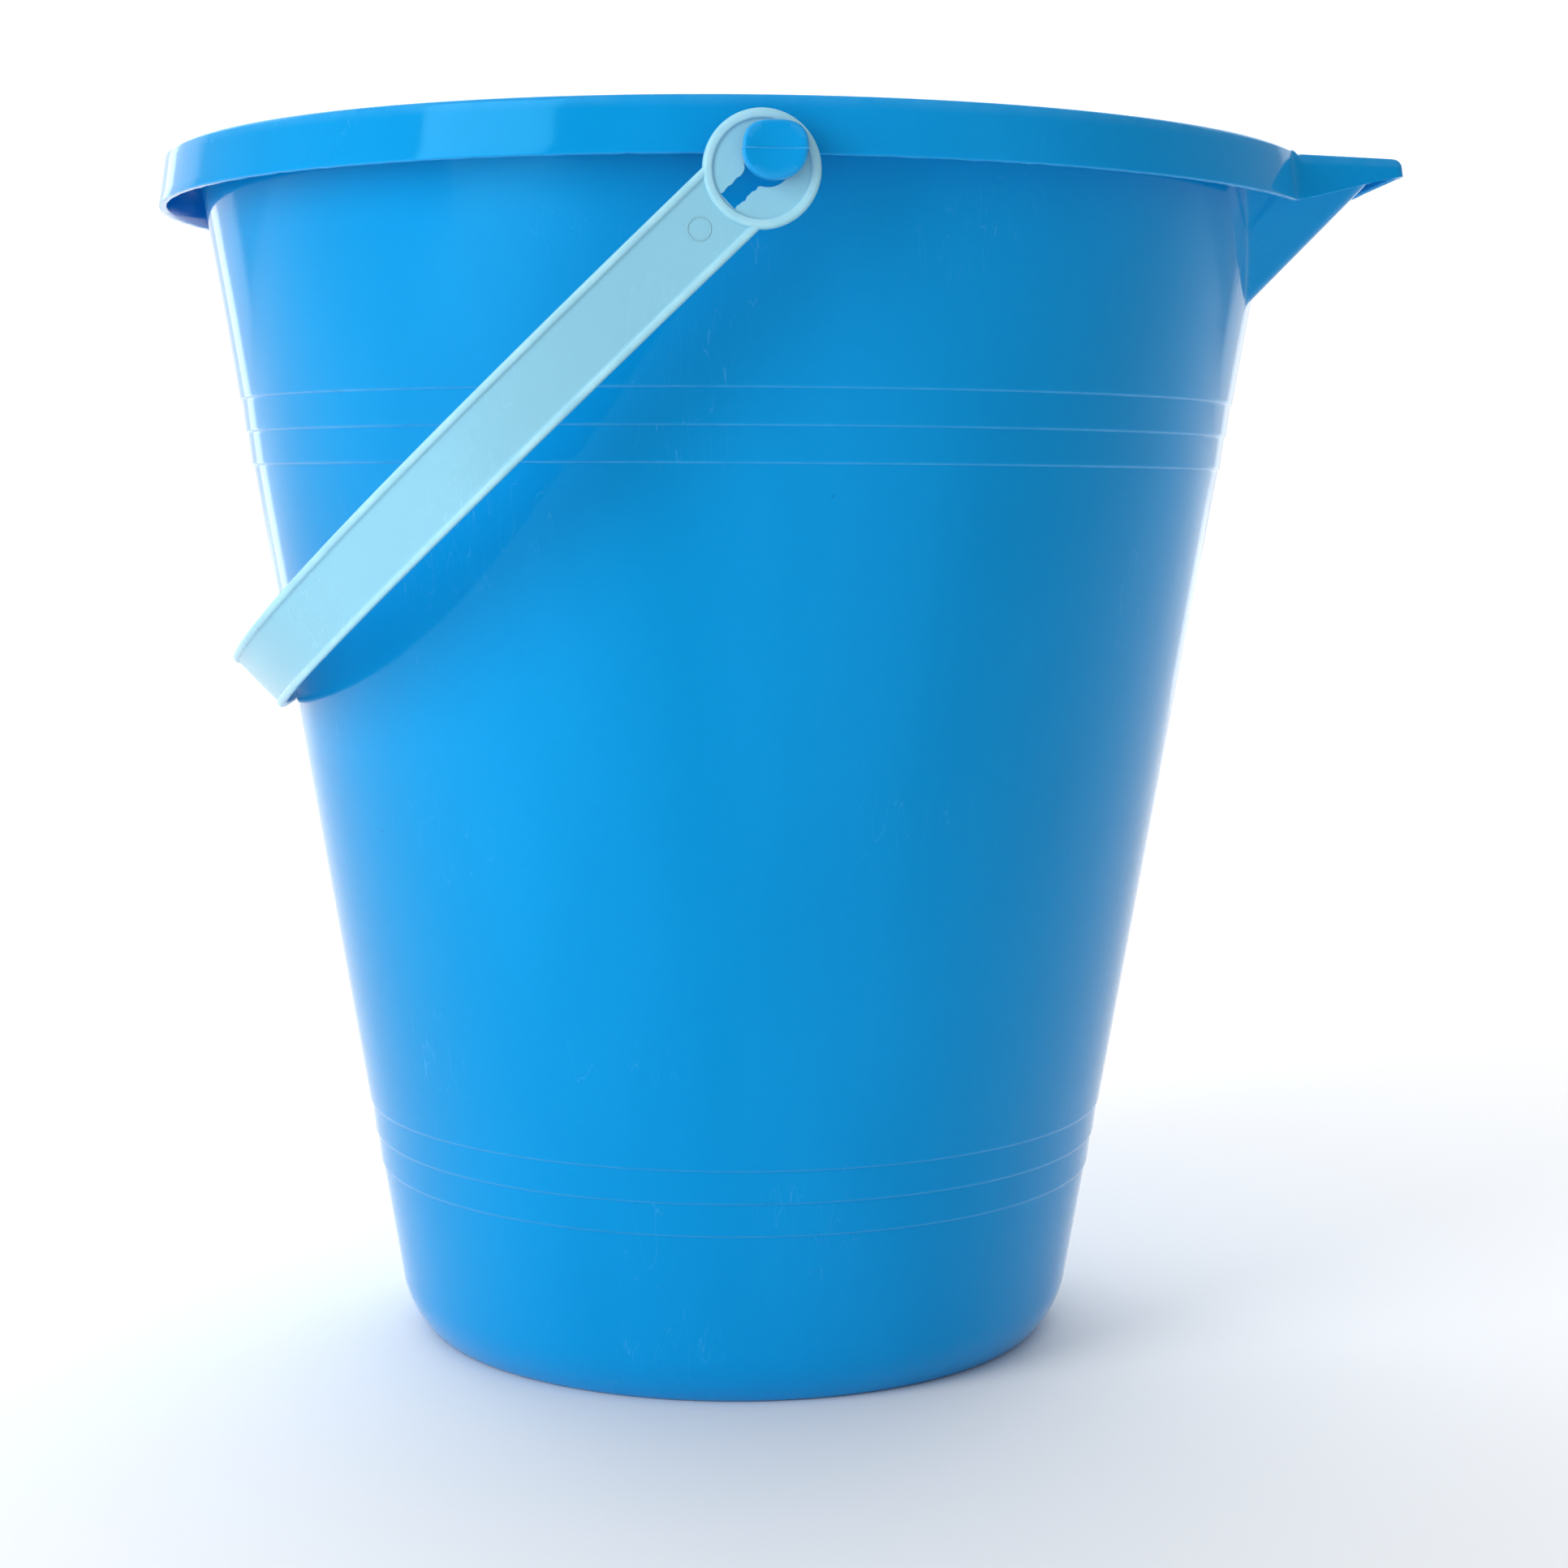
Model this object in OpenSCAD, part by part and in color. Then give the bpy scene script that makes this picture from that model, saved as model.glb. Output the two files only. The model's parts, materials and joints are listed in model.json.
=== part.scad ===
// Sand bucket with a pouring spout and a swinging handle.
// Millimetres, +Z up. The origin is the middle of the base, on the ground.
// The two handle pegs lie on Y, and the handle hangs towards -X.

/* [Bucket] */
// Height of the rim above the ground
bucket_h = 248.4; // [200:0.1:300]
// Outer radius of the rim at its top
rim_r = 120; // [100:0.5:150]
// Outer radius of the wall's slope, carried down to the ground
wall_foot_r = 71.2; // [60:0.1:86]
// Thickness of the wall
wall_t = 1.8; // [1.4:0.1:2.6]
// Thickness of the floor
floor_t = 2.2; // [1.6:0.1:3.5]

/* [Base] */
// Height at which the wall starts to turn in towards the base
turn_h = 11; // [8:0.5:14]
// Radius of that turn, seen from the side
turn_r = 20; // [18:0.5:30]

/* [Rim] */
// Width of the flat of the rim, outside the wall
rim_w = 6.2; // [5:0.1:9]
// Thickness of the flat of the rim
rim_t = 1.8; // [1.2:0.1:2.6]
// Rounding of the rim's top outer edge
rim_round = 0.8; // [0.4:0.1:1.6]
// Depth of the turned-down skirt below the rim's top
skirt_drop = 10.3; // [8:0.1:14]
// How far the skirt flares outwards over its depth
skirt_flare = 1.5; // [0:0.1:2]
// Thickness of the skirt
skirt_t = 1.6; // [1.2:0.1:2.2]

/* [Moulded lines] */
// Number of stepped lines in each band
line_count = 3; // [1:1:4]
// Distance from one line to the next
line_pitch = 6.75; // [4:0.25:8]
// Step of the wall at each line
line_step = 0.3; // [0.1:0.05:0.5]
// Height of the lowest line of the lower band
lower_band_z = 36.3; // [20:0.1:60]
// Drop from the rim's top to the lowest line of the upper band
upper_band_drop = 62.8; // [50:0.1:90]

/* [Spout] */
// Turn of the spout about Z, away from +X
spout_turn = -20; // [-25:0.5:0]
// Height at which the spout's keel leaves the wall, below the rim
keel_drop = 29.4; // [22:0.1:36]
// Distance from the lip's tip back to the keel, at the rim's height
keel_inset = 3.45; // [3:0.05:8]
// Half angle between the spout's two sides, in plan
side_angle = 45; // [42:0.5:48]
// Rounding of the keel, across it
keel_r = 5; // [3:0.5:8]
// Reach of the lip's tip past the rim's radius
lip_out = 20.4; // [17:0.1:25]
// Half angle between the lip's two edges, in plan
lip_angle = 36.5; // [35:0.5:42]
// Rounding of the lip's tip, in plan
lip_r = 3; // [2:0.5:5]
// Least width of the flat between the spout's channel and the edge of the lip or rim
lip_flat = 3; // [2.6:0.1:4]
// Step down from the rim's top to the lip's top
lip_step = 0.8; // [0:0.1:1.2]
// Depth of the skirt's edge at the lip's tip, below the rim's top
lip_skirt = 4.4; // [3.6:0.1:6]

/* [Handle pegs] */
// Radius of a peg's shaft
peg_r = 3; // [2.5:0.1:3.8]
// How far a peg's round head reaches past the edge of the hole that it holds
head_over = 1.5; // [1:0.1:3]
// How far the flat top of the head reaches past that edge
head_top_over = 0.7; // [0.4:0.1:1.4]
// Thickness of a peg's head
head_t = 3; // [2:0.1:5]

/* [Handle] */
// Width of the strap
strap_w = 14.2; // [10:0.1:18]
// Thickness of the strap at its edge ribs
strap_t = 1.8; // [1.6:0.1:4]
// Width of each edge rib
rib_w = 1.5; // [1:0.1:2.5]
// Height of the ribs above the strap's face
rib_h = 0.4; // [0.3:0.1:0.8]
// Squareness of the strap's curve, where 2 is an ellipse
curve_power = 2.5; // [2.2:0.1:3]
// Material between a peg's hole and the outside of its ring, at the narrowest
ring_wall = 3.1; // [2.8:0.1:6]
// Width of the ring's raised edge
bead_w = 1.8; // [1.2:0.1:2.4]
// Distance from a peg to the middle of its ring
ring_offset = 3; // [1:0.1:4]
// Extra length of the peg's hole, towards the strap
hole_play = 1.6; // [0:0.1:3]
// Width of the slot that lets the ring snap over a peg
snap_slot_w = 3.5; // [2:0.1:5]

/* [Fits] */
// Slack of a peg in its hole, which is that much larger in radius
peg_clearance = 1.1; // [0.5:0.05:1.2]
// Gap left between a peg and the top of the hole that hangs on it
peg_gap = 0.1; // [0.05:0.05:0.3]
// Gap between the rim's skirt and the inside of the rings
skirt_gap = 3.2; // [1:0.1:6]
// Gap between the rings and the peg heads
head_gap = 0.4; // [0.2:0.1:1]
// Gap between the hanging strap and the wall
rest_gap = 0.35; // [0.3:0.05:1]
// Gap between the lip's tip and the inside of the strap as it swings past
lip_gap = 0.94; // [0.6:0.02:8]

/* [Hidden] */

bucket_colour = [0.04, 0.45, 0.80];
handle_colour = [0.52, 0.83, 0.90];
$fn = 96;
arc_steps = 6;
tip_steps = 5;
curve_steps = 40;
swing_tries = 24;
eps = 0.01;
far = 400;

// the wall's outer face as a straight slope: its radius at a height
wall_top_r = rim_r - rim_w;
wall_slope = (wall_top_r - wall_foot_r) / bucket_h;
wall_lean = atan(wall_slope);
function wall_r(z) = wall_foot_r + wall_slope * z;

// the turn at the base: an arc that is tangent to the wall's slope
turn_x = wall_r(turn_h) - turn_r * cos(wall_lean);
turn_z = turn_h + turn_r * sin(wall_lean);
function turn_angle(r, z) = asin((z - turn_z) / r);
function turn_arc(r, z) =
    [for (i = [0:arc_steps])
        let (a = turn_angle(r, z) + i / arc_steps * (-wall_lean - turn_angle(r, z)))
        [turn_x + r * cos(a), turn_z + r * sin(a)]];

// both edges of the step at each moulded line, from the lowest up
upper_band_z = bucket_h - upper_band_drop;
function line_points(band_z) =
    [for (i = [0:line_count - 1], side = [-1, 1])
        let (z = band_z + i * line_pitch)
        [wall_r(z) + side * line_step / 2, z]];

// the rim
skirt_z = bucket_h - skirt_drop;
skirt_r = rim_r + skirt_flare;

// the spout, whose keel runs up and outwards from a point on the wall
lip_reach = rim_r + lip_out;
keel_z = bucket_h - keel_drop;
keel_lean = atan((lip_reach - keel_inset - wall_r(keel_z)) / keel_drop);
section_angle = atan(tan(side_angle) / cos(keel_lean));
keel_run = keel_drop / cos(keel_lean) + far / 8;
side_run = rim_r / 2;
lip_apex = lip_reach + lip_r * (1 / sin(lip_angle) - 1);
lip_middle = lip_apex * cos(lip_angle);
crease_run = lip_middle - sqrt(pow(lip_middle, 2) - pow(lip_apex, 2) + pow(skirt_r, 2));
crease_x = lip_apex - crease_run * cos(lip_angle);
lip_slope = (skirt_drop - lip_skirt) / (lip_reach - crease_x);

// the pegs and the rings that turn on them
peg_z = skirt_z;
ring_y = skirt_r + skirt_gap;
ring_face_y = ring_y + strap_t;
head_y = ring_face_y + head_gap;
hole_r = peg_r + peg_clearance;
head_r = hole_r + head_over;
head_top = hole_r + head_top_over;
ring_r = ring_offset + hole_r + ring_wall;
hang_z = peg_z - (peg_clearance - peg_gap);

// the strap is long enough to pass outside the lip's tip
lip_swing_r = norm([lip_reach * cos(spout_turn), bucket_h - lip_step - hang_z]);
lip_side = abs(lip_reach * sin(spout_turn)) / ring_y;
handle_reach = lip_swing_r / pow(1 - pow(lip_side, curve_power), 1 / curve_power) + lip_gap;

// the handle hangs at the angle where its lower inner edge meets the wall
function edge_x(a) = handle_reach * cos(a) - strap_w / 2 * sin(a);
function edge_z(a) = hang_z - handle_reach * sin(a) - strap_w / 2 * cos(a);
function edge_gap(a) = edge_x(a) - wall_r(edge_z(a)) - rest_gap / cos(wall_lean);
function hang(low, high, tries) =
    let (mid = (low + high) / 2)
    tries == 0 ? mid
    : edge_gap(mid) > 0 ? hang(mid, high, tries - 1)
    : hang(low, mid, tries - 1);
hang_angle = hang(0, 80, swing_tries);

module bucket() {
    color(bucket_colour) difference() {
        union() {
            wall_solid();
            rim();
            spout_sides(0);
            lip();
            handle_peg();
            mirror([0, 1, 0]) handle_peg();
        }
        inside();
        spout_sides(wall_t);
    }
}

// everything inside the wall's outer face, with its turned-in base
module wall_solid() {
    rotate_extrude($fn = 180)
        polygon(concat(
            [[0, 0]],
            turn_arc(turn_r, 0),
            line_points(lower_band_z),
            line_points(upper_band_z),
            [[wall_top_r, bucket_h], [0, bucket_h]]));
}

// the space that holds the sand
module inside() {
    rotate_extrude($fn = 180)
        polygon(concat(
            [[0, floor_t]],
            turn_arc(turn_r - wall_t, floor_t),
            [[wall_top_r - wall_t, bucket_h],
             [wall_top_r - wall_t, bucket_h + 1],
             [0, bucket_h + 1]]));
}

// the flat of the rim and its skirt, open where the spout passes through
module rim() {
    difference() {
        rotate_extrude($fn = 180)
            polygon(concat(
                [[wall_top_r - wall_t / 2, bucket_h - rim_t],
                 [rim_r - skirt_t, bucket_h - rim_t],
                 [skirt_r - skirt_t, skirt_z],
                 [skirt_r, skirt_z]],
                [for (i = [0:arc_steps])
                    let (a = i / arc_steps * 90)
                    [rim_r - rim_round + rim_round * cos(a),
                     bucket_h - rim_round + rim_round * sin(a)]],
                [[wall_top_r - wall_t / 2, bucket_h]]));
        rotate([0, 0, spout_turn])
            lip_solid(skirt_t, skirt_z - 1, bucket_h - lip_step - rim_t);
    }
}

// a V with a round tip that points along +X and touches x = 0
module round_vee(r, half_angle, run, inset) {
    tip_r = r - inset;
    tip_turn = 90 - half_angle;
    back = [tip_r * sin(half_angle) - run * cos(half_angle),
            tip_r * cos(half_angle) + run * sin(half_angle)];
    translate([-r, 0])
        polygon(concat(
            [[back.x, -back.y]],
            [for (i = [-tip_steps:tip_steps])
                let (a = i / tip_steps * tip_turn)
                [tip_r * cos(a), tip_r * sin(a)]],
            [back]));
}

// how far out the spout's sides may reach at the top, so that they stay within the skirt
module spout_limit(inset) {
    circle(rim_r - inset);
    lip_outline(inset, bucket_h);
}

// the spout's two sides and keel as one solid; an inset gives its channel
module spout_sides(inset) {
    rotate([0, 0, spout_turn]) intersection() {
        translate([wall_r(keel_z), 0, keel_z])
            rotate([0, keel_lean, 0])
                translate([0, 0, -wall_top_r / 6])
                    linear_extrude(keel_run) round_vee(keel_r, section_angle, side_run, inset);
        translate([rim_r / 2, -rim_r / 2, 0])
            cube([rim_r, rim_r, bucket_h + (inset > 0 ? 1 : -lip_step - rim_t / 2)]);
        linear_extrude(bucket_h + 2) spout_limit(lip_flat - wall_t + inset);
    }
}

// the lip's outline at a height: it flares towards the bottom as the skirt does
module lip_outline(inset, z) {
    flare = skirt_flare * (z - skirt_z) / skirt_drop;
    translate([lip_reach - flare - inset, 0])
        round_vee(max(lip_r, inset + flare + 1) - inset - flare, lip_angle, rim_r / 3, 0);
}

module lip_solid(inset, low, high) {
    hull() for (z = [low, high - eps])
        translate([0, 0, z]) linear_extrude(eps) lip_outline(inset, z, $fn = 32);
}

// the flat of the lip, and its skirt that gets shallower towards the tip
module lip() {
    rotate([0, 0, spout_turn]) difference() {
        lip_solid(0, skirt_z, bucket_h - lip_step);
        lip_solid(skirt_t, skirt_z - 1, bucket_h - lip_step - rim_t);
        translate([0, 0, skirt_z - 1])
            cylinder(h = skirt_drop - rim_t + 1, r1 = skirt_r - skirt_t / 2, r2 = rim_r - skirt_t / 2);
        translate([crease_x, 0, skirt_z])
            rotate([0, -atan(lip_slope), 0])
                translate([-rim_r / 2, -rim_r / 2, -rim_r])
                    cube([rim_r, rim_r, rim_r]);
    }
}

// one peg, on the -Y side; the shaft's seam is turned to its underside, clear of the skirt's edge
module handle_peg() {
    translate([0, 0, peg_z]) rotate([90, 0, 0]) {
        translate([0, 0, wall_r(peg_z) - wall_t / 2])
            rotate([0, 0, -90]) cylinder(h = head_y - wall_r(peg_z) + wall_t, r = peg_r);
        translate([0, 0, head_y]) intersection() {
            cylinder(h = head_t, r = head_r);
            translate([-head_r, -head_r, 0]) cube([2 * head_r, head_r + head_top, head_t]);
        }
    }
}

module handle() {
    color(handle_colour)
        translate([0, 0, hang_z]) rotate([0, 180 - hang_angle, 0]) {
            strap();
            ring();
            mirror([0, 1, 0]) ring();
        }
}

// half of a squared ellipse, from one ring round to the other
module strap_shape(grow) {
    polygon([for (i = [0:curve_steps])
        let (t = -90 + i * 180 / curve_steps)
        [(handle_reach + grow) * pow(max(cos(t), 0), 2 / curve_power),
         (ring_y + grow) * sign(t) * pow(abs(sin(t)), 2 / curve_power)]]);
}

// the strap lies in the plane of X and Y here, with a rib along each edge
module strap() {
    difference() {
        linear_extrude(strap_w, center = true) strap_shape(strap_t);
        linear_extrude(strap_w + 1, center = true) strap_shape(0);
        linear_extrude(strap_w - 2 * rib_w, center = true)
            difference() {
                strap_shape(strap_t + 1);
                strap_shape(strap_t - rib_h);
            }
        translate([ring_offset, 0, 0]) rotate([90, 0, 0])
            cylinder(h = far, r = ring_r - bead_w / 2, center = true);
        translate([ring_offset - far, -far / 2, -far / 2]) cube(far);
    }
}

// one ring, on the -Y side: a raised edge round a disc with a keyhole
module ring() {
    rotate([90, 0, 0]) difference() {
        translate([ring_offset, 0, ring_y]) cylinder(h = strap_t, r = ring_r);
        translate([ring_offset, 0, ring_face_y - rib_h])
            cylinder(h = rib_h + 1, r = ring_r - bead_w);
        translate([0, 0, ring_y - 1]) {
            cylinder(h = strap_t + 2, r = hole_r);
            translate([hole_play, 0, 0]) cylinder(h = strap_t + 2, r = hole_r);
            translate([0, -hole_r, 0]) cube([hole_play, 2 * hole_r, strap_t + 2]);
            translate([0, -snap_slot_w / 2, 0])
                cube([ring_offset + ring_r - bead_w - eps, snap_slot_w, strap_t + 2]);
        }
    }
}

bucket();
handle();
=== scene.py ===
"""A sand bucket with a pouring spout and a swinging handle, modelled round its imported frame.

Lengths are in metres and +Z is up. The origin is the middle of the base, on the ground.
"""

import json
import math
from contextlib import contextmanager
from types import SimpleNamespace

import bmesh
import bpy
import numpy as np
from bpy.props import FloatProperty, FloatVectorProperty, IntProperty, PointerProperty
from mathutils import Matrix, Vector


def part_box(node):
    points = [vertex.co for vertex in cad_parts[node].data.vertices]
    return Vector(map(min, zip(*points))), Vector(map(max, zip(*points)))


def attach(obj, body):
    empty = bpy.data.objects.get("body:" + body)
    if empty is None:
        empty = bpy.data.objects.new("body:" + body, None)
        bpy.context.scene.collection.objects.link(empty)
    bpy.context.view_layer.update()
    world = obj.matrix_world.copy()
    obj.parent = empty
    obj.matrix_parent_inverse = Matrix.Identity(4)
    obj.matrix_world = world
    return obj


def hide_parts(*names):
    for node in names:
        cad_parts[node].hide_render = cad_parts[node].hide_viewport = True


bl_info = {
    "name": "Sand Bucket",
    "version": (1, 0, 0),
    "blender": (4, 5, 0),
    "location": "View3D > Sidebar > Sand Bucket",
    "description": "Models a sand bucket with its spout, pegs and swinging handle",
    "category": "Add Mesh",
}

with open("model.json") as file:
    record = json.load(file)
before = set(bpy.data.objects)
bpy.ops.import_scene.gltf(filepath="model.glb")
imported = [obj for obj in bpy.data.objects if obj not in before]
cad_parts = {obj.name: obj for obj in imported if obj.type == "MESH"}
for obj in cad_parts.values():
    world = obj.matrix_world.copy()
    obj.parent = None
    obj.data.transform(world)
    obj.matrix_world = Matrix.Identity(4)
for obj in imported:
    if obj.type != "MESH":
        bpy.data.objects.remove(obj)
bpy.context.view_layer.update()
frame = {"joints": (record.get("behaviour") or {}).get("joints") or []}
BUCKET_LOW, BUCKET_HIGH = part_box("bucket")
PEG_AXIS_Z = frame["joints"][0]["pos_m"][2]
# point attribute that paints edges, lines and crests pale: partly wear, partly painted highlight
WORN_AND_HIGHLIT_EDGE = "worn_edge"
ALONG_Y = (math.pi / 2, 0, 0)
MM = 0.001

WELD = 0.002 * MM  # points of a spun mesh that are closer are merged
STEP_RUN = 1.5 * MM  # distance past the rim over which the top steps down to the lip
CREASE_BLEND = 1 * MM  # rounding of the crease from the skirt's level edge to the lip's rising one
LIP_HALF_TURN = math.radians(30)  # the lip lies within this of the spout's direction
SKIRT_CLEARANCE = 0.06 * MM  # the wall keeps this far inside the skirt beside the lip


# ---------------- settings

def number(name, description, default, **options):
    """A property for a number."""
    return FloatProperty(name=name, description=description, default=default, **options)


def length(name, description, default):
    """A property for a length."""
    return number(name, description, default, min=0.0, precision=4, unit="LENGTH")


def angle(name, description, degrees):
    """A property for an angle."""
    return number(name, description, math.radians(degrees), subtype="ANGLE")


def share(name, description, default):
    """A property for a share from 0 to 1."""
    return number(name, description, default, min=0.0, max=1.0, subtype="FACTOR")


def colour(name, description, default):
    """A property for a colour."""
    return FloatVectorProperty(name=name, description=description, default=default,
                               min=0.0, max=1.0, size=3, subtype="COLOR")


class ShellSizes(bpy.types.PropertyGroup):
    """Sizes of the bucket's wall and floor"""

    height: length("Height", "Height of the rim above the ground", BUCKET_HIGH.z)
    skirt_r: length("Skirt radius", "Outer radius of the skirt at its bottom edge", -BUCKET_LOW.x)
    foot_r: length("Foot radius", "Radius of the wall's slope, carried down to the ground", 0.0712)
    wall_t: length("Wall", "Thickness of the wall", 0.0018)
    floor_t: length("Floor", "Thickness of the floor", 0.0022)
    turn_h: length("Turn height", "Height at which the wall turns in to the base", 0.011)
    turn_r: length("Turn radius", "Radius of that turn, seen from the side", 0.020)
    foot_w: length("Foot width", "Width of the ring that the bucket stands on", 0.009)
    foot_h: length("Foot height", "Height of that ring below the floor's underside", 0.0008)
    gate_r: length("Gate radius", "Radius of the gate mark under the floor", 0.002)
    columns: IntProperty(name="Columns", description="Faces round the bucket", default=480, min=48)


class RimSizes(bpy.types.PropertyGroup):
    """Sizes of the rim and its turned-down skirt"""

    flat_w: length("Flat width", "Width of the rim's flat outside the wall", 0.0062)
    flat_t: length("Flat thickness", "Thickness of the rim's flat", 0.0018)
    top_round: length("Top rounding", "Rounding of the top outer edge", 0.0008)
    mouth_round: length("Mouth rounding", "Rounding of the top inner edge", 0.0007)
    skirt_drop: length("Skirt depth", "Depth of the skirt below the rim's top", 0.0103)
    skirt_flare: length("Skirt flare", "How far the skirt flares out over its depth", 0.0015)
    skirt_t: length("Skirt thickness", "Thickness of the skirt", 0.0016)
    skirt_round: length("Skirt rounding", "Rounding of the skirt's bottom edge", 0.0004)
    nicks: length("Nicks", "Depth of the small nicks in the skirt's bottom edge", 0.00012)
    root_r: length("Root fillet", "Fillet between the wall and the rim's underside", 0.001)


class LineSizes(bpy.types.PropertyGroup):
    """Sizes of the two bands of moulded lines round the wall"""

    count: IntProperty(name="Lines", description="Lines in each band", default=3, min=1)
    pitch: length("Pitch", "Distance from one line to the next", 0.00675)
    step: length("Step", "Step of the wall at each line", 0.0003)
    rise: length("Rise", "Height over which a line makes its step", 0.0004)
    lower_z: length("Lower band", "Height of the lowest line of the lower band", 0.0363)
    upper_drop: length("Upper band", "Drop from the rim to the upper band's lowest line", 0.0628)
    # the lines' paleness is a painted highlight along each line
    worn: share("Wear", "How pale and worn the lines are", 0.4)


class SpoutSizes(bpy.types.PropertyGroup):
    """Sizes of the V-shaped spout and the lip round its top"""

    turn: angle("Turn", "Turn of the spout about Z, away from +X", -20)
    keel_drop: length("Keel drop", "Depth below the rim at which the keel starts", 0.0294)
    keel_inset: length("Keel inset", "Distance from the lip's tip back to the keel", 0.00345)
    side_angle: angle("Side angle", "Half angle between the spout's sides, in plan", 45)
    keel_r: length("Keel rounding", "Rounding of the keel, across it", 0.005)
    lip_out: length("Lip reach", "Reach of the lip's tip past the rim's radius", 0.0204)
    lip_angle: angle("Lip angle", "Half angle between the lip's edges, in plan", 36.5)
    lip_r: length("Lip rounding", "Rounding of the lip's tip, in plan", 0.003)
    lip_flat: length("Lip flat", "Least width of the flat beside the channel", 0.003)
    lip_step: length("Lip step", "Step down from the rim's top to the lip's top", 0.0008)
    tip_softness: number("Tip softness", "Rounding of the lip's top edge, times the rim's", 1.8,
                         min=1.0)
    lip_skirt: length("Lip skirt", "Depth of the skirt's edge at the lip's tip", 0.0044)
    side_fillet: length("Side fillet", "Blend between the wall and the spout's sides", 0.0004)
    lip_fillet: length("Lip fillet", "Blend between the rim and the lip's edges", 0.0014)


class PegSizes(bpy.types.PropertyGroup):
    """Sizes of the pegs that the handle turns on"""

    axis_z: length("Axis height", "Height of the pegs' common axis", PEG_AXIS_Z)
    shaft_r: length("Shaft radius", "Radius of a peg's shaft", 0.003)
    face_y: length("Face", "Distance from the bucket's axis to a head's face", BUCKET_HIGH.y)
    head_t: length("Head thickness", "Thickness of a peg's head", 0.003)
    head_r: length("Head radius", "Half the width of a peg's head", 0.0056)
    head_top: length("Head top", "Height of the head above its parting line", 0.0048)
    head_foot: length("Head foot", "Depth of the head below its parting line", 0.0052)
    chamfer: length("Chamfer", "Width of the worn chamfer round a head's face", 0.0007)
    halves_shift: length("Mismatch", "Shift between the head's two moulded halves", 0.00022)
    flash: length("Flash", "Height and half width of the flash along the parting line", 0.00014)
    dish: length("Dish", "Depth of the shrinkage in the middle of the head's face", 0.00024)
    dish_step: length("Dish step", "Width of each of the two slopes of that shrinkage", 0.0011)
    top_power: number("Top squareness", "Squareness of the head's upper half", 2.8, min=2.0)
    foot_power: number("Foot squareness", "Squareness of the head's lower half", 2.15, min=2.0)


class HandleSizes(bpy.types.PropertyGroup):
    """Sizes of the swinging strap handle and its rings"""

    strap_w: length("Strap width", "Width of the strap", 0.0142)
    strap_t: length("Strap thickness", "Thickness of the strap at its ribs", 0.0018)
    rib_w: length("Rib width", "Width of each edge rib", 0.0015)
    rib_h: length("Rib height", "Height of the ribs above the strap's face", 0.00045)
    rib_round: length("Rib rounding", "Rounding of the ribs' outer edges", 0.0006)
    back_round: length("Back rounding", "Rounding of the strap's inner edges", 0.00045)
    curve_power: number("Squareness", "Squareness of the strap's curve, where 2 is an ellipse", 2.5,
                        min=2.0)
    lip_gap: length("Lip gap", "Gap between the lip's tip and the strap", 0.00094)
    rest_gap: length("Rest gap", "Gap between the hanging strap and the wall", 0.00035)
    ring_gap: length("Ring gap", "Gap between the skirt and the inside of the rings", 0.0032)
    ring_r: length("Ring radius", "Outer radius of the ring at each end", 0.0102)
    bead_w: length("Bead width", "Width of the ring's raised edge", 0.0018)
    bead_round: length("Bead rounding", "Rounding of the ring's front edge", 0.00075)
    ring_back_round: length("Ring back rounding", "Rounding of the ring's back edge", 0.00035)
    ring_offset: length("Ring offset", "Distance from a peg to its ring's middle", 0.003)
    hole_r: length("Hole radius", "Radius of a peg's hole", 0.0041)
    hole_play: length("Hole play", "Extra length of the hole, towards the strap", 0.0016)
    slot_w: length("Slot width", "Width of the snap slot", 0.0035)
    slot_wave: length("Slot wave", "Waviness of the slot's trimmed edges", 0.00012)
    hang: length("Hang", "How far the rings hang below the pegs' axis", 0.001)
    mark_r: length("Mark radius", "Radius of the round ejector mark near each ring", 0.002)
    mark_at: length("Mark place", "Distance from a peg to its ejector mark", 0.0178)
    steps: IntProperty(name="Steps", description="Faces along the strap", default=256, min=24)


class PlasticLooks(bpy.types.PropertyGroup):
    """Colours and gloss of the two plastics"""

    bucket: colour("Bucket", "Colour of the bucket's plastic", (0.001, 0.285, 0.66))
    # the edge colours paint worn edges and painted highlights on edges, lines and crests
    bucket_pale: colour("Bucket edge", "Colour of its thin and worn edges", (0.12, 0.48, 0.86))
    bucket_sheen: colour("Bucket sheen", "Tint of its head-on reflections", (0.15, 0.75, 1.0))
    handle: colour("Handle", "Colour of the handle's plastic", (0.26, 0.56, 0.70))
    handle_pale: colour("Handle edge", "Colour of its worn edges", (0.60, 0.88, 0.95))
    handle_sheen: colour("Handle sheen", "Tint of its head-on reflections", (0.6, 0.9, 1.0))
    bucket_gloss: share("Bucket roughness", "Roughness of the bucket's surface", 0.08)
    handle_gloss: share("Handle roughness", "Roughness of the handle's surface", 0.27)


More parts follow.
